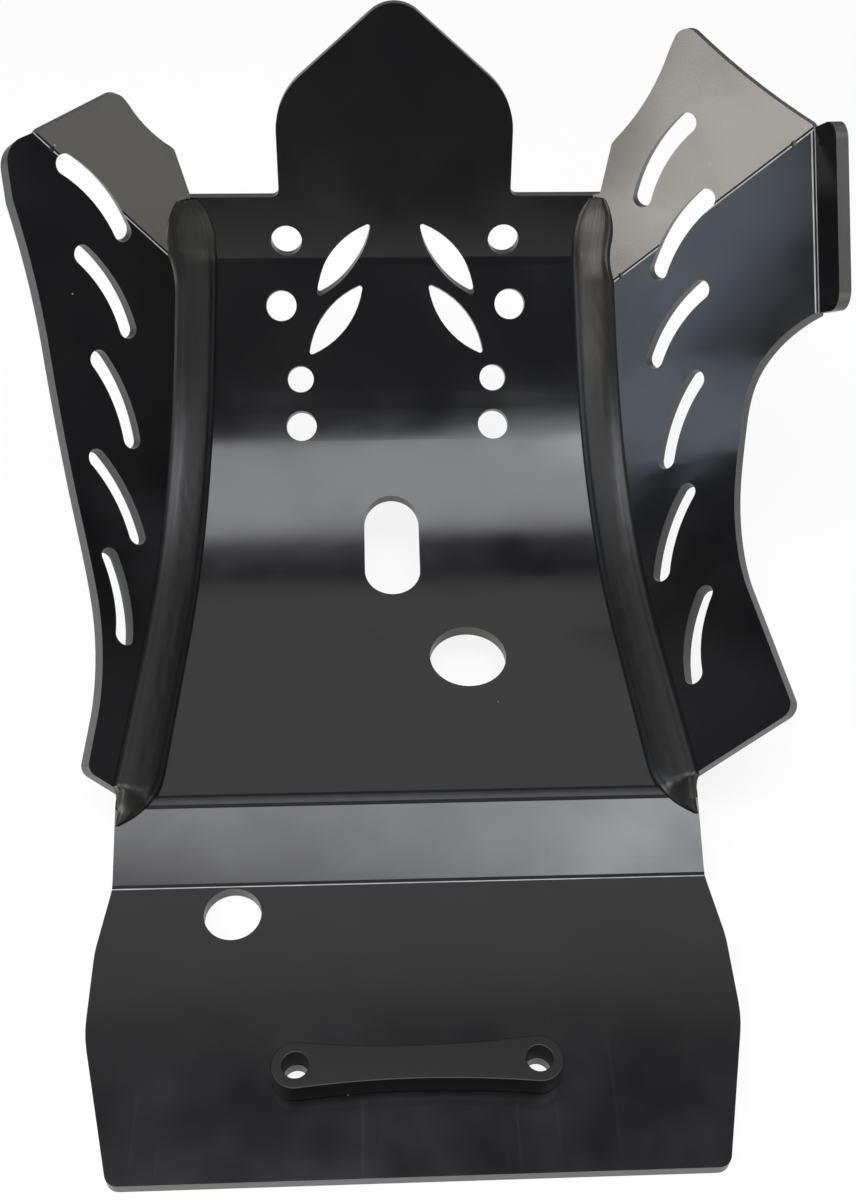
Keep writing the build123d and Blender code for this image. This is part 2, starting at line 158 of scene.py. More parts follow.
# At the front it is pinched: over what length, and the shares that its foot, head and crown lose
BEAD_PINCH = 22.0 * MM
PINCH_FOOT = 0.72
PINCH_HEAD = 0.6
PINCH_CROWN = 0.8

# Its skin has a lip at each edge, a groove beside it, placed in shares of the section, and ripples
BEAD_LIP = 0.9 * MM
LIP_SHARE = 0.03
BEAD_GROOVE = 0.5 * MM
GROOVE_SHARE = 0.13
GROOVE_SPREAD = 0.06
BEAD_RIPPLE = 0.14 * MM
PINCH_RIPPLE = 0.5 * MM
RIPPLE_LENGTH = 9.0 * MM
RIPPLES_ACROSS = 7
RIPPLE_SIDE = 3
RIPPLE_FADE = 0.125

# How far the skin and the root of a section are sunk, so that no gap shows
BEAD_SINK = 0.3 * MM
BEAD_ROOT = 1.5 * MM

# Spacer: half the bolt pitch, the radii of its lobes and holes, and how near a bolt's axis a bore's wall is
BOLT_X = 52.1 * MM
LOBE_RADIUS = 10.45 * MM
BOLT_HOLE_RADIUS = 5.65 * MM
BORE_REACH = 8.0 * MM
SPACER_HEIGHT = 12.7 * MM
LOBE_STEPS = 24
HOLE_STEPS = 32

# Polyethylene bends light this much, and its dust is a pale grey
POLYETHYLENE_IOR = 1.51
DUST = (0.22, 0.22, 0.21, 1)

# Lamps in metres: name, place, aim, width, height, radiance and spin
LAMPS = (
    ("overhead_softbox", (0.05, -0.01, 2.0), (0.05, 0.05, 0), 1.5, 0.96, (5.4, 5.45, 5.7), radians(-8)),
    ("right_overhead", (0.55, -0.4, 2.0), (0.05, 0.05, 0), 0.8, 0.4, (2.6, 2.7, 2.9), 0),
    ("front_panel", (0.0, 1.6, 2.0), (0, 0.15, 0), 2.6, 1.1, (0.85, 0.85, 0.85), 0),
    ("left_softbox", (-0.6, -0.34, 0.31), (0.15, 0.42, 0.2), 0.46, 0.5, (9.2, 8.7, 8.0), 0),
    ("right_softbox", (0.65, -0.33, 0.24), (-0.15, 0.42, 0.17), 0.6, 0.4, (2.4, 2.35, 2.1), 0),
    ("left_panel", (-0.88, 0.24, 0.37), (0.18, 0.38, 0.13), 0.34, 0.42, (1.85, 2.15, 2.6), 0),
    ("left_fill", (-1.0, 0.1, 1.15), (0.1, 0.25, 0.05), 0.8, 0.8, (1.9, 1.9, 1.95), 0),
    ("right_fill", (1.0, 0.1, 1.15), (-0.1, 0.25, 0.05), 0.8, 0.8, (1.6, 1.6, 1.65), 0),
)

# Floor, world and dim room: sizes in metres, the floor's gap under the part, and how bright each is
FLOOR_HALF_SIZE = 6.0
FLOOR_GAP = 0.2 * MM
FLOOR_WHITE_SHARE = 0.88
WORLD_WHITE = (0.96, 0.96, 0.96, 1)
WORLD_UNSEEN = 0.1
ROOM_MIDDLE = (0, 0.75, 1.3)
ROOM_SIZE = (2.9, 3.1, 2.7)
ROOM_GLOW = 0.1

# Camera: focal length in millimetres, place, way it looks and roll
CAMERA_LENS = 43.5
CAMERA_PLACE = Vector((-17.1, -262.3, 591.8)) * MM
CAMERA_AHEAD = Vector((0.0399, 0.6628, -0.7478)).normalized()
CAMERA_ROLL = radians(1.64)


def linear(code):
    """Linear colour of an sRGB hex value."""
    channels = [int(code[i:i + 2], 16) / 255 for i in (1, 3, 5)]
    return tuple(c / 12.92 if c <= 0.04045 else ((c + 0.055) / 1.055) ** 2.4 for c in channels)


def node(tree, kind, inputs, **settings):
    """Adds a node, with its settings, and links or sets its inputs."""
    added = tree.nodes.new(kind)
    for name, value in settings.items():
        setattr(added, name, value)
    for name, value in inputs.items():
        if isinstance(value, bpy.types.NodeSocket):
            tree.links.new(value, added.inputs[name])
        else:
            added.inputs[name].default_value = value
    return added


class SkidPlateSizes(bpy.types.PropertyGroup):
    """Sizes that a user would change."""

    sheet_thickness: FloatProperty(
        name="Sheet thickness",
        description="Thickness of the bent sheet, which tells its faces from its cut walls",
        default=6.35 * MM, min=1 * MM, unit="LENGTH", precision=5,
    )
    edge_round: FloatProperty(
        name="Edge round",
        description="Width of the eased edge round every cut wall",
        default=0.7 * MM, min=0.05 * MM, unit="LENGTH", precision=5,
    )
    # The scored lines are strips of painted shade and painted highlight laid out in this width, with no
    # groove cut in the sheet
    painted_line_width: FloatProperty(
        name="Score width",
        description="Half width of the scored lines along the bends",
        default=1.0 * MM, min=0.2 * MM, unit="LENGTH", precision=5,
    )
    waist: FloatProperty(
        name="Spacer waist",
        description="Half width of the spacer midway between its bolts",
        default=7.6 * MM, min=5 * MM, unit="LENGTH", precision=5,
    )
    bead_foot: FloatProperty(
        name="Bead foot",
        description="Reach of a weld bead over the base, from the wing's foot",
        default=11.5 * MM, min=3 * MM, unit="LENGTH", precision=5,
    )
    bead_height: FloatProperty(
        name="Bead height",
        description="Height at which a weld bead meets the wing",
        default=9.9 * MM, min=3 * MM, unit="LENGTH", precision=5,
    )
    bead_crown: FloatProperty(
        name="Bead crown",
        description="Bulge of a weld bead over the line between its two edges",
        default=3.0 * MM, min=0.2 * MM, unit="LENGTH", precision=5,
    )


class SkidPlateColours(bpy.types.PropertyGroup):
    """Colours of the finishes."""

    sheet: FloatVectorProperty(
        name="Sheet", description="Black of the sheet's pressed faces",
        default=linear("#0e0e0f"), subtype="COLOR", min=0, max=1,
    )
    cut: FloatVectorProperty(
        name="Cut walls", description="Grey of the routed edges",
        default=linear("#3e3e3d"), subtype="COLOR", min=0, max=1,
    )
    # Painted shade: the black of the dark lines along the bends and creases, and of the spacer's bores,
    # where shade would fall
    painted_shade_colour: FloatVectorProperty(
        name="Score", description="Black in the bottom of the scored lines",
        default=linear("#060606"), subtype="COLOR", min=0, max=1,
    )
    # Painted highlight: the pale grey of thin lines along the wings' bends and the guard's crease, and,
    # dimmed, across the upper crease, where their rounding would catch the light
    painted_highlight_colour: FloatVectorProperty(
        name="Strained sheet", description="Pale grey of the sheet where a bend has strained it",
        default=linear("#a2a4a8"), subtype="COLOR", min=0, max=1,
    )
    bead: FloatVectorProperty(
        name="Weld beads", description="Black of the weld beads",
        default=linear("#121212"), subtype="COLOR", min=0, max=1,
    )
    spacer: FloatVectorProperty(
        name="Spacer", description="Black of the spacer",
        default=linear("#0a0a0a"), subtype="COLOR", min=0, max=1,
    )
    floor: FloatVectorProperty(
        name="Floor", description="White of the studio floor",
        default=linear("#f2f2f2"), subtype="COLOR", min=0, max=1,
    )


def scaled(colour, share):
    """Colour made darker or paler by a share, with its alpha."""
    return (*[c * share for c in colour], 1)


def bare_material(name):
    """Material without any nodes, and its node tree."""
    material = bpy.data.materials.new(name)
    material.use_nodes = True
    material.node_tree.nodes.clear()
    return material, material.node_tree


def new_material(name):
    """Material with only a principled shader on its output."""
    material, tree = bare_material(name)
    shader = node(tree, "ShaderNodeBsdfPrincipled", {})
    node(tree, "ShaderNodeOutputMaterial", {"Surface": shader.outputs["BSDF"]})
    return material, tree, shader


def object_place(tree):
    """Object coordinates for a texture to read."""
    return node(tree, "ShaderNodeTexCoord", {}).outputs["Object"]


def combined(tree, operation, first, second):
    """Result of one operation on two values."""
    return node(tree, "ShaderNodeMath", {0: first, 1: second}, operation=operation).outputs[0]


def cloudy(tree, place, scale, detail):
    """Value of a noise texture at a place."""
    inputs = {"Vector": place, "Scale": scale, "Detail": detail}
    return node(tree, "ShaderNodeTexNoise", inputs).outputs["Fac"]


def add_tint(tree, shader, factor, low, high):
    """Colours a shader between two colours by a factor."""
    tint = node(tree, "ShaderNodeMix", {"Factor": factor, "A": low, "B": high}, data_type="RGBA")
    tree.links.new(tint.outputs["Result"], shader.inputs["Base Color"])


def add_bump(tree, shader, height, strength, distance):
    """Gives a shader's surface small bumps by a height."""
    bump = node(tree, "ShaderNodeBump", {"Height": height, "Strength": strength, "Distance": distance})
    tree.links.new(bump.outputs["Normal"], shader.inputs["Normal"])


def pressed_sheet(colour):
    """Polyethylene sheet, pressed smooth: a deep, faintly uneven black gloss with dust and scratches."""
    material, tree, shader = new_material("pressed_polyethylene_sheet")
    place = object_place(tree)
    shader.inputs["IOR"].default_value = POLYETHYLENE_IOR
    # Specks of dust, drawn coarser than they are so that they still show
    cells = node(tree, "ShaderNodeTexVoronoi", {"Vector": place, "Scale": 42.0})
    pick = node(tree, "ShaderNodeSeparateColor", {"Color": cells.outputs["Color"]})
    chosen = combined(tree, "GREATER_THAN", pick.outputs["Red"], 0.55)
    near = node(
        tree, "ShaderNodeMapRange",
        {"Value": cells.outputs["Distance"], "From Min": 0.028, "From Max": 0.012},
    )
    dust = combined(tree, "MULTIPLY", near.outputs["Result"], chosen)
    add_tint(tree, shader, dust, (*colour, 1), DUST)
    # Hazy patches where hands and tools have rubbed the gloss
    haze = cloudy(tree, place, scale=22.0, detail=3.0)
    rough = node(
        tree, "ShaderNodeMapRange",
        {"Value": haze, "From Min": 0.3, "From Max": 0.7, "To Min": 0.13, "To Max": 0.23},
    )
    # Fine scratches across the sheet, in two directions
    scratches = []
    for turn, stretch in ((0.5, (7, 520, 520)), (1.7, (420, 9, 420))):
        drag = node(
            tree, "ShaderNodeMapping",
            {"Vector": place, "Rotation": (0, 0, turn), "Scale": stretch},
        )
        lines = cloudy(tree, drag.outputs["Vector"], scale=1.0, detail=1.0)
        thin = node(
            tree, "ShaderNodeMapRange",
            {"Value": lines, "From Min": 0.7, "From Max": 0.8, "To Max": 0.03},
        )
        scratches.append(thin.outputs["Result"])
    scratched = combined(tree, "MAXIMUM", *scratches)
    worn = combined(tree, "ADD", rough.outputs["Result"], scratched)
    tree.links.new(worn, shader.inputs["Roughness"])
    ripple = cloudy(tree, place, scale=30.0, detail=1.0)
    add_bump(tree, shader, ripple, strength=0.08, distance=0.4 * MM)
    return material


def routed_edge(colour):
    """The same sheet where a router cut it: greyer, with fine cutter marks that catch the light."""
    material, tree, shader = new_material("routed_polyethylene_edge")
    shader.inputs["IOR"].default_value = POLYETHYLENE_IOR
    shader.inputs["Roughness"].default_value = 0.38
    grain = cloudy(tree, object_place(tree), scale=700.0, detail=3.0)
    add_tint(tree, shader, grain, scaled(colour, 0.7), scaled(colour, 1.3))
    add_bump(tree, shader, grain, strength=0.2, distance=0.3 * MM)
    return material


def dull_tone(name, colour, roughness):
    """Dull, uneven tone: dark as painted shade in the lines along the bends and in a bore, pale as a
    painted highlight along a bend.
    """
    material, tree, shader = new_material(name)
    shader.inputs["Roughness"].default_value = roughness
    shader.inputs["Specular IOR Level"].default_value = 0.2
    shade = cloudy(tree, object_place(tree), scale=90.0, detail=2.0)
    add_tint(tree, shader, shade, scaled(colour, 0.5), scaled(colour, 1.4))
    return material


def extruded_bead(colour):
    """Polyethylene laid molten: a satin black drawn out in streaks along the bead."""
    material, tree, shader = new_material("extruded_polyethylene_bead")
    shader.inputs["Base Color"].default_value = (*colour, 1)
    shader.inputs["IOR"].default_value = POLYETHYLENE_IOR
    shader.inputs["Specular IOR Level"].default_value = 0.38
    along = node(tree, "ShaderNodeUVMap", {}, uv_map="bead").outputs["UV"]
    drawn = node(tree, "ShaderNodeMapping", {"Vector": along, "Scale": (14, 900, 1)})
    streaks = cloudy(tree, drawn.outputs["Vector"], scale=1.0, detail=1.0)
    rough = node(
        tree, "ShaderNodeMapRange",
        {"Value": streaks, "From Min": 0.3, "From Max": 0.7, "To Min": 0.34, "To Max": 0.42},
    )
    tree.links.new(rough.outputs["Result"], shader.inputs["Roughness"])
    add_bump(tree, shader, streaks, strength=0.12, distance=0.4 * MM)
    return material


def moulded_spacer(colour):
    """Moulded nylon: a plain black with a soft gloss."""
    material, tree, shader = new_material("moulded_nylon_spacer")
    shader.inputs["Base Color"].default_value = (*colour, 1)
    shader.inputs["IOR"].default_value = 1.46
    shader.inputs["Roughness"].default_value = 0.34
    shader.inputs["Specular IOR Level"].default_value = 0.36
    grain = cloudy(tree, object_place(tree), scale=700.0, detail=2.0)
    add_bump(tree, shader, grain, strength=0.05, distance=0.2 * MM)
    return material


def merged_copy(name):
    """Bmesh of a node's solid with its loose triangles joined."""
    solid = bmesh.new()
    solid.from_mesh(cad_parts[name].data)
    bmesh.ops.remove_doubles(solid, verts=solid.verts, dist=JOIN_GAP)
    for face in solid.faces:
        face.material_index = PRESSED
        face.smooth = True
    return solid


def node_surface(name):
    """Surface of a node's solid, for rays to hit."""
    solid = merged_copy(name)
    surface = BVHTree.FromBMesh(solid)
    solid.free()
    return surface


def mark_cut_walls(solid, thickness):
    """Gives the cut material to every face that isn't one of the sheet's two broad faces."""
    surface = BVHTree.FromBMesh(solid)
    for face in solid.faces:
        inward = -face.normal
        start = face.calc_center_median() + inward * UNDER_FACE
        hit, normal, _, depth = surface.ray_cast(start, inward, 2 * thickness)
        broad = (
            hit is not None and abs(depth - thickness) < THICKNESS_SLACK * thickness
            and normal.dot(inward) > BACK_TO_BACK
        )
        face.material_index = PRESSED if broad else CUT
    # A face that runs on smoothly from a broad one belongs to it
    edge_of_broad = [f for f in solid.faces if f.material_index == PRESSED]
    while edge_of_broad:
        face = edge_of_broad.pop()
        for edge in face.edges:
            for other in edge.link_faces:
                if other.material_index == CUT and other.normal.dot(face.normal) > RUNS_ON:
                    other.material_index = PRESSED
                    edge_of_broad.append(other)


def join_flat_faces(solid, keep):
    """Joins faces that lie flat with each other, but not across the kinds of border to keep."""
    bmesh.ops.dissolve_limit(
        solid, angle_limit=FLAT_ANGLE, use_dissolve_boundaries=False,
        verts=solid.verts, edges=solid.edges, delimit=keep,
    )


def ease_edges(solid, width):
    """Rounds every edge where two faces meet sharply."""
    corners = [e for e in solid.edges if len(e.link_faces) == 2 and e.calc_face_angle() > EASED_ANGLE]
    bmesh.ops.bevel(
        solid, geom=corners, offset=width, offset_type="OFFSET", affect="EDGES", segments=2,
        profile=0.5, material=-1, clamp_overlap=True,
    )


def slice_at(solid, point, across):
    """Cuts the faces of a solid with a plane, and keeps both sides."""
    bmesh.ops.bisect_plane(
        solid, geom=solid.verts[:] + solid.edges[:] + solid.faces[:], dist=SLICE_GAP,
        plane_co=point, plane_no=across,
    )


def paint_bend_lines(solid, inner, width, bend):
    """Marks narrow strips of painted shade and painted highlight along a bend on a wing's inner side, on
    both of the faces that meet there.
    """
    least, most, rear_strips, other_strips = bend
    bends = [
        e for e in solid.edges
        if len(e.link_faces) == 2 and e.calc_length() > LEAST_BEND
        and all(f.material_index == PRESSED for f in e.link_faces)
        and sum(f.normal.x for f in e.link_faces) * inner > 0 and least < e.calc_face_angle() < most
    ]
    if not bends:
        return
    longest = max(bends, key=lambda e: e.calc_length())
    start = longest.verts[0].co.copy()
    along = (longest.verts[1].co - start).normalized()
    sides = sorted(longest.link_faces, key=lambda f: f.normal.y)
    planes = []
    for face, strips in zip(sides, (rear_strips, other_strips)):
        across = along.cross(face.normal)
        if across.dot(face.calc_center_median() - start) < 0:
            across = -across
        planes.append((face.normal.copy(), across, strips))
    for normal, across, strips in planes:
        for near, far, index in strips:
            slice_at(solid, start + across * near * width, across)
            slice_at(solid, start + across * far * width, across)
            for face in solid.faces:
                offset = face.calc_center_median() - start
                if face.normal.dot(normal) > SAME_PLANE and abs(offset.dot(normal)) < STRIP_GAP:
                    if near * width < offset.dot(across) < far * width and face.material_index == PRESSED:
                        face.material_index = index


def crease_line(solid, rear, front, index):
    """Gives a narrow band across the top of the base the material of its painted shade or painted
    highlight.
    """
    for edge_y in (rear, front):
        slice_at(solid, (0, edge_y, 0), (0, 1, 0))
    for face in solid.faces:
        inside = rear < face.calc_center_median().y < front
        if inside and face.normal.z > 0.5 and face.material_index == PRESSED:
            face.material_index = index


def placed_object(solid, name, materials):
    """Turns a bmesh into an object of the scene."""
    mesh = bpy.data.meshes.new(name)
    solid.to_mesh(mesh)
    solid.free()
    for material in materials:
        mesh.materials.append(material)
    placed = bpy.data.objects.new(name, mesh)
    bpy.context.scene.collection.objects.link(placed)
    return placed


def finished_piece(solid, name, replaced, materials):
    """Makes the bmesh a piece that stands for a node and rides with the part."""
    piece = placed_object(solid, name, materials)
    piece.data.set_sharp_from_angle(angle=SHARP_ANGLE)
    weighted = piece.modifiers.new("Face normals", "WEIGHTED_NORMAL")
    weighted.keep_sharp = True
    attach(piece, "root")
    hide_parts(replaced)


class SKID_OT_sheets(bpy.types.Operator):
    """Makes the base plate and the two wings"""

    bl_idname = "skid.sheets"
    bl_label = "Base and wings"

    def execute(self, context):
        sizes, colours = context.scene.skid_sizes, context.scene.skid_colours
        # In the order of the pressed face, the cut wall, the painted shade line, the painted highlight line
        # and the painted crease highlight
        materials = (
            pressed_sheet(colours.sheet),
            routed_edge(colours.cut),
            dull_tone("painted_shade_line", colours.painted_shade_colour, roughness=0.6),
            dull_tone("painted_highlight_line", colours.painted_highlight_colour, roughness=0.35),
            # Painted highlight across the upper crease's roll: the pale highlight grey dimmed to a
            # twentieth
            dull_tone("painted_crease_roll_highlight", scaled(colours.painted_highlight_colour, 0.05)[:3], roughness=0.35),
        )
        for name, replaced, inner in SHEETS:
            solid = merged_copy(replaced)
            mark_cut_walls(solid, sizes.sheet_thickness)
            if inner == 0:
                for crease, start, end, index in CREASE_BANDS:
                    crease_line(solid, crease + start, crease + end, index)
            else:
                for bend in WING_BENDS:
                    paint_bend_lines(solid, inner, sizes.painted_line_width, bend)
            join_flat_faces(solid, {"MATERIAL"})
            ease_edges(solid, sizes.edge_round)
            finished_piece(solid, name, replaced, materials)
        return {"FINISHED"}


def profile(along):
    """Distance forward of the upper crease, height over the floor and slope, along the base's top."""
    if along <= FLOOR_LENGTH:
        return along, 0.0, 0.0
    rest = along - FLOOR_LENGTH
    turn = min(rest / ROLL_RADIUS, ROLL_ANGLE)
    forward = FLOOR_LENGTH + ROLL_RADIUS * sin(turn)
    height = ROLL_RADIUS * (1 - cos(turn))
    if rest <= ROLL_LENGTH:
        return forward, height, turn
    ramp = min(rest - ROLL_LENGTH, RAMP_LENGTH)
    tongue = max(rest - ROLL_LENGTH - RAMP_LENGTH, 0)
    forward += ramp * cos(ROLL_ANGLE) + tongue * cos(TONGUE_ANGLE)
    height += ramp * sin(ROLL_ANGLE) + tongue * sin(TONGUE_ANGLE)
    return forward, height, TONGUE_ANGLE if tongue > 0 else ROLL_ANGLE


class BeadMaker:
    """Lays a weld bead in the corner between the base and one wing."""

    def __init__(self, side, sizes):
        self.side = -1 if side == "left" else 1
        self.sizes = sizes
        self.base = node_surface("base_plate")
        self.wing = node_surface(side + "_wing")
        self.foot_dir = Vector((-sin(WING_TOE_IN) * self.side, cos(WING_TOE_IN), 0))
        self.out_dir = Vector((cos(WING_TOE_IN) * self.side, sin(WING_TOE_IN), 0))

    def frame_at(self, along):
        """Corner point and normal of the base at a place along the wing's foot, eased over the bends."""
        near = [profile(along + EASE_STEP * k) for k in range(-EASE_STEPS, EASE_STEPS + 1)]
        forward, height, slope = (sum(values) / len(near) for values in zip(*near))
        corner = CREASE + Vector((WING_FOOT * self.side, 0, 0)) + self.foot_dir * forward
        corner.z += height
        return corner, Vector((0, 0, cos(slope))) - self.foot_dir * sin(slope)

    def on_base(self, point, normal):
        """Point of the base's top under or over a point, or the point itself where the base has ended."""
        hit = self.base.ray_cast(point + normal * OVER_BASE, -normal, 2 * OVER_BASE)[0]
        return hit if hit is not None else point

    def on_wing(self, corner, normal, height):
        """Point of the wing's inner face at a height, or of its even slope where the wing has ended."""
        start = corner - self.out_dir * INSIDE_WING + normal * height
        hit = self.wing.ray_cast(start, self.out_dir, WING_REACH)[0]
        return hit if hit is not None else corner + self.out_dir * height + normal * height

    def section(self, along):
        """Points of the bead's visible skin, from the base to the wing, and its root, at one place."""
        corner, normal = self.frame_at(along)
        foot_reach, height, crown = self.sizes.bead_foot, self.sizes.bead_height, self.sizes.bead_crown
        turn = max(0, (BEAD_TURN - along) / (BEAD_TURN + BEAD_TAIL)) ** TURN_CURVE
        inner = -foot_reach + (foot_reach + TAIL_INNER) * turn
        late = max(0, 1 - (BEAD_TIP - along) / BEAD_PINCH) ** 2
        foot = self.on_base(corner + self.out_dir * inner * (1 - PINCH_FOOT * late), normal)
        if along < 0:
            share = -along / BEAD_TAIL
            lift = height * max(1 - TAIL_FALL * share, 0) ** 2
            head = self.on_base(corner + self.out_dir * TAIL_OUTER, normal) + normal * lift
            root = (foot + head) / 2 - normal * BEAD_ROOT
            crown *= 1 - TAIL_CROWN * share
        else:
            head = self.on_wing(corner, normal, height * (1 - PINCH_HEAD * late))
            root = corner + self.out_dir * BEAD_ROOT - normal * BEAD_ROOT
            crown *= 1 - PINCH_CROWN * late
        across = head - foot
        bulge = across.cross(self.foot_dir).normalized()
        if bulge.dot(normal) < 0:
            bulge = -bulge
        points = []
        for step in range(BEAD_STEPS + 1):
            t = step / BEAD_STEPS
            inset = min(t, 1 - t)
            lip = BEAD_LIP * min(inset / LIP_SHARE, 1)
            groove = BEAD_GROOVE * max(0, 1 - abs(inset - GROOVE_SHARE) / GROOVE_SPREAD)
            rise = lip - groove + crown * (1 - abs(2 * t - 1) ** 3) - BEAD_SINK
            spot = Vector((along / RIPPLE_LENGTH, t * RIPPLES_ACROSS, self.side * RIPPLE_SIDE))
            ripple = (BEAD_RIPPLE + PINCH_RIPPLE * late) * noise.noise(spot * (1 + late))
            rise += ripple * min(1, inset / RIPPLE_FADE)
            points.append(foot + across * t + bulge * rise)
        return points, root

    def build(self):
        """Closed skin of the bead, with coordinates along and across it for its streaks."""
        solid = bmesh.new()
        layer = solid.loops.layers.uv.new("bead")
        step = (BEAD_TIP + BEAD_TAIL) / BEAD_STATIONS
        stations = [-BEAD_TAIL + step * k for k in range(BEAD_STATIONS + 1)]
        rings = []
        for along in stations:
            points, root = self.section(along)
            rings.append([solid.verts.new(p) for p in (*points, root)])
        count = len(rings[0])
        for k, (ring, ahead) in enumerate(zip(rings, rings[1:])):
            for i in range(count):
                j = (i + 1) % count
                face = solid.faces.new((ring[i], ring[j], ahead[j], ahead[i]))
                face.smooth = True
                spots = ((k, i), (k, i + 1), (k + 1, i + 1), (k + 1, i))
                for loop, (station, place) in zip(face.loops, spots):
                    loop[layer].uv = (stations[station], place * MM)
        solid.faces.new(rings[0])
        solid.faces.new(rings[-1])
        bmesh.ops.recalc_face_normals(solid, faces=solid.faces)
        return solid


class SKID_OT_weld_beads(bpy.types.Operator):
    """Makes the two weld beads"""

    bl_idname = "skid.weld_beads"
    bl_label = "Weld beads"

    def execute(self, context):
        materials = (extruded_bead(context.scene.skid_colours.bead),)
        for side in ("left", "right"):
            solid = BeadMaker(side, context.scene.skid_sizes).build()
            finished_piece(solid, side + "_bead", side + "_weld_bead", materials)
        return {"FINISHED"}


def spacer_outline(waist):
    """Outline of the spacer: two round lobes and a waist that curves in between them."""
    outline = []
    for side in (1, -1):
        for k in range(LOBE_STEPS + 1):
            turn = pi / 2 - pi * k / LOBE_STEPS
            outline.append((side * (BOLT_X + LOBE_RADIUS * cos(turn)), side * LOBE_RADIUS * sin(turn)))
        for k in range(1, LOBE_STEPS):
            x = side * BOLT_X * (1 - 2 * k / LOBE_STEPS)
            outline.append((x, -side * (waist + (LOBE_RADIUS - waist) * (x / BOLT_X) ** 2)))
    return outline


def bolt_hole(x):
    """Outline of a bolt hole."""
    turns = [2 * pi * k / HOLE_STEPS for k in range(HOLE_STEPS)]
    return [(x + BOLT_HOLE_RADIUS * cos(a), BOLT_HOLE_RADIUS * sin(a)) for a in turns]


class SKID_OT_spacer(bpy.types.Operator):
    """Makes the spacer between the rear bolts"""

    bl_idname = "skid.spacer"
    bl_label = "Spacer"

    def execute(self, context):
        sizes, colours = context.scene.skid_sizes, context.scene.skid_colours
        solid = bmesh.new()
        rims = []
        for loop in (spacer_outline(sizes.waist), bolt_hole(BOLT_X), bolt_hole(-BOLT_X)):
            ring = [solid.verts.new((x, y, 0)) for x, y in loop]
            rims += [solid.edges.new(pair) for pair in zip(ring, ring[1:] + ring[:1])]
        bmesh.ops.triangle_fill(solid, use_beauty=True, edges=rims)
        join_flat_faces(solid, set())
        low = bmesh.ops.extrude_face_region(solid, geom=list(solid.faces), use_keep_orig=True)
        bmesh.ops.translate(
            solid, vec=(0, 0, -SPACER_HEIGHT),
            verts=[v for v in low["geom"] if isinstance(v, bmesh.types.BMVert)],
        )
        bmesh.ops.recalc_face_normals(solid, faces=solid.faces)
        for face in solid.faces:
            face.smooth = True
            middle = face.calc_center_median()
            from_bolt = Vector((abs(middle.x) - BOLT_X, middle.y)).length
            bore = abs(face.normal.z) < 0.5 and from_bolt < BORE_REACH
            face.material_index = BORE if bore else MOULDED
        ease_edges(solid, sizes.edge_round)
        # In the order of MOULDED and BORE
        materials = (
            moulded_spacer(colours.spacer),
            # The bores take the painted shade colour: painted shade inside the bolt holes
            dull_tone("shadowed_nylon_bore", colours.painted_shade_colour, roughness=0.7),
        )
        finished_piece(solid, "spacer", "spacer_strip", materials)
        return {"FINISHED"}


def softbox(name, middle, facing, width, height, radiance, spin):
    """Rectangular lamp at a place, turned to face another, as bright as a lit panel of that radiance."""
    lamp = bpy.data.lights.new(name, "AREA")
    lamp.shape = "RECTANGLE"
    lamp.size = width
    lamp.size_y = height
    brightest = max(radiance)
    lamp.color = [c / brightest for c in radiance]
    lamp.energy = brightest * width * height * pi
    box = bpy.data.objects.new(name, lamp)
    bpy.context.scene.collection.objects.link(box)
    box.location = middle
    box.rotation_mode = "QUATERNION"
    aim = (Vector(facing) - Vector(middle)).to_track_quat("-Z", "Y")
    box.rotation_quaternion = aim @ Matrix.Rotation(spin, 3, "Z").to_quaternion()


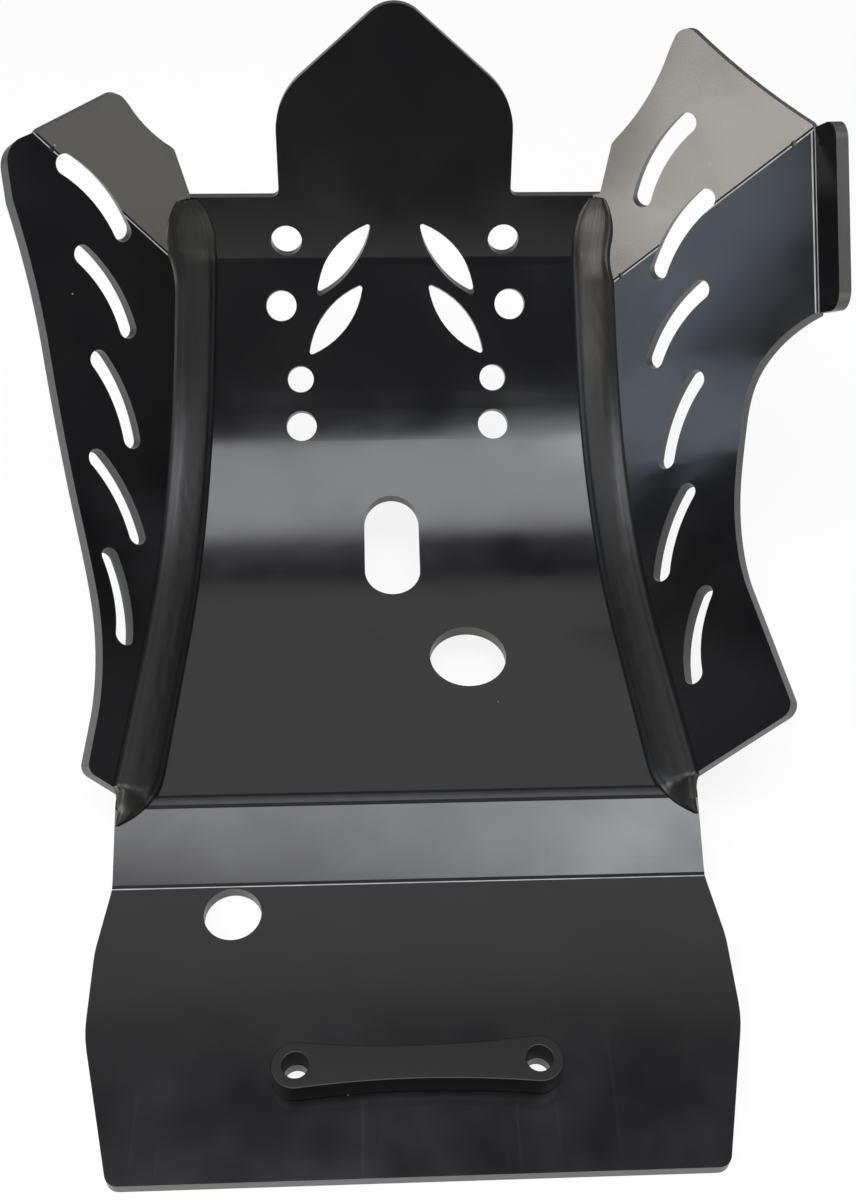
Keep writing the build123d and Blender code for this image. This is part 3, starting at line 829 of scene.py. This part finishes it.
class SKID_OT_stage(bpy.types.Operator):
    """Makes the floor, world, lamps, dim room and camera"""

    bl_idname = "skid.stage"
    bl_label = "Stage"

    def execute(self, context):
        scene = context.scene
        self.lay_floor(scene.skid_colours.floor)
        self.white_world(scene)
        for lamp in LAMPS:
            softbox(*lamp)
        self.dim_room()
        self.place_camera(scene)
        scene.view_settings.view_transform = "Standard"
        return {"FINISHED"}

    def lay_floor(self, colour):
        """Floor just under the part, so that the two don't share a plane."""
        ground = bmesh.new()
        bmesh.ops.create_grid(ground, x_segments=1, y_segments=1, size=FLOOR_HALF_SIZE)
        bmesh.ops.translate(ground, verts=ground.verts, vec=(0, 0, cad_box[0].z - FLOOR_GAP))
        floor = placed_object(ground, "floor", (self.white_floor(colour),))

    def white_world(self, scene):
        """World that shows white behind the floor and lights the set only a little."""
        world = bpy.data.worlds.new("studio")
        world.use_nodes = True
        backdrop = world.node_tree.nodes["Background"]
        backdrop.inputs["Color"].default_value = WORLD_WHITE
        strength = self.seen_directly(world.node_tree, 1.0, WORLD_UNSEEN)
        world.node_tree.links.new(strength, backdrop.inputs["Strength"])
        scene.world = world

    def dim_room(self):
        """Dark walls and ceiling round the set, out of the camera's sight, which keep the gloss black."""
        room = bmesh.new()
        bmesh.ops.create_cube(room, size=1.0)
        size = Matrix.Translation(ROOM_MIDDLE) @ Matrix.Diagonal((*ROOM_SIZE, 1.0))
        bmesh.ops.transform(room, matrix=size, verts=room.verts)
        bmesh.ops.delete(room, geom=[f for f in room.faces if f.normal.z < -0.5], context="FACES")
        walls = placed_object(room, "dim_room", (self.black_felt(),))
        walls.visible_camera = False

    def black_felt(self):
        """Black felt with a faint bluish glow, for the light that a real room would throw back."""
        material, _, shader = new_material("black_studio_felt")
        shader.inputs["Base Color"].default_value = (0.02, 0.02, 0.02, 1)
        shader.inputs["Roughness"].default_value = 1.0
        shader.inputs["Specular IOR Level"].default_value = 0.0
        shader.inputs["Emission Color"].default_value = (0.85, 0.9, 1.0, 1)
        shader.inputs["Emission Strength"].default_value = ROOM_GLOW
        return material

    def place_camera(self, scene):
        """Camera where the photograph was taken from, as fitted to it."""
        lens = bpy.data.cameras.new("camera")
        lens.lens = CAMERA_LENS
        camera = bpy.data.objects.new("camera", lens)
        scene.collection.objects.link(camera)
        level = CAMERA_AHEAD.cross(Vector((0, 0, 1))).normalized()
        upward = level.cross(CAMERA_AHEAD)
        across = level * cos(CAMERA_ROLL) + upward * sin(CAMERA_ROLL)
        above = upward * cos(CAMERA_ROLL) - level * sin(CAMERA_ROLL)
        place = Matrix((across, above, -CAMERA_AHEAD)).transposed().to_4x4()
        place.translation = CAMERA_PLACE
        camera.matrix_world = place
        scene.camera = camera

    def seen_directly(self, tree, seen, unseen):
        """Value for what the camera sees, also in a gloss or through glass, and another for all else."""
        path = node(tree, "ShaderNodeLightPath", {})
        direct = path.outputs["Is Camera Ray"]
        for kind in ("Is Glossy Ray", "Is Transmission Ray"):
            direct = combined(tree, "MAXIMUM", direct, path.outputs[kind])
        return node(
            tree, "ShaderNodeMapRange", {"Value": direct, "To Min": unseen, "To Max": seen},
        ).outputs["Result"]

    def white_floor(self, colour):
        """Seamless paper that shows near white to the camera and still takes the part's shadow."""
        material, tree = bare_material("seamless_paper")
        share = self.seen_directly(tree, FLOOR_WHITE_SHARE, 0.0)
        paper = node(tree, "ShaderNodeBsdfDiffuse", {"Color": (*colour, 1)})
        glow = node(tree, "ShaderNodeEmission", {"Color": (1, 1, 1, 1), "Strength": 1.0})
        mix = node(
            tree, "ShaderNodeMixShader",
            {0: share, 1: paper.outputs["BSDF"], 2: glow.outputs["Emission"]},
        )
        node(tree, "ShaderNodeOutputMaterial", {"Surface": mix.outputs["Shader"]})
        return material


class SKID_PT_panel(bpy.types.Panel):
    """Sidebar panel with the steps and their sizes and colours"""

    bl_idname = "SKID_PT_panel"
    bl_label = "Skid plate"
    bl_space_type = "VIEW_3D"
    bl_region_type = "UI"
    bl_category = "Skid plate"

    def draw(self, context):
        for step in STEPS:
            self.layout.operator(step.bl_idname)
        for group in (context.scene.skid_sizes, context.scene.skid_colours):
            for name in group.bl_rna.properties.keys():
                if name not in {"rna_type", "name"}:
                    self.layout.prop(group, name)


STEPS = (SKID_OT_sheets, SKID_OT_weld_beads, SKID_OT_spacer, SKID_OT_stage)
CLASSES = (SkidPlateSizes, SkidPlateColours, *STEPS, SKID_PT_panel)


def register():
    for cls in CLASSES:
        bpy.utils.register_class(cls)
    bpy.types.Scene.skid_sizes = PointerProperty(type=SkidPlateSizes)
    bpy.types.Scene.skid_colours = PointerProperty(type=SkidPlateColours)


def unregister():
    del bpy.types.Scene.skid_colours
    del bpy.types.Scene.skid_sizes
    for cls in reversed(CLASSES):
        bpy.utils.unregister_class(cls)


def main():
    register()
    bpy.ops.skid.sheets()
    bpy.ops.skid.weld_beads()
    bpy.ops.skid.spacer()
    bpy.ops.skid.stage()


if __name__ == "__main__":
    main()
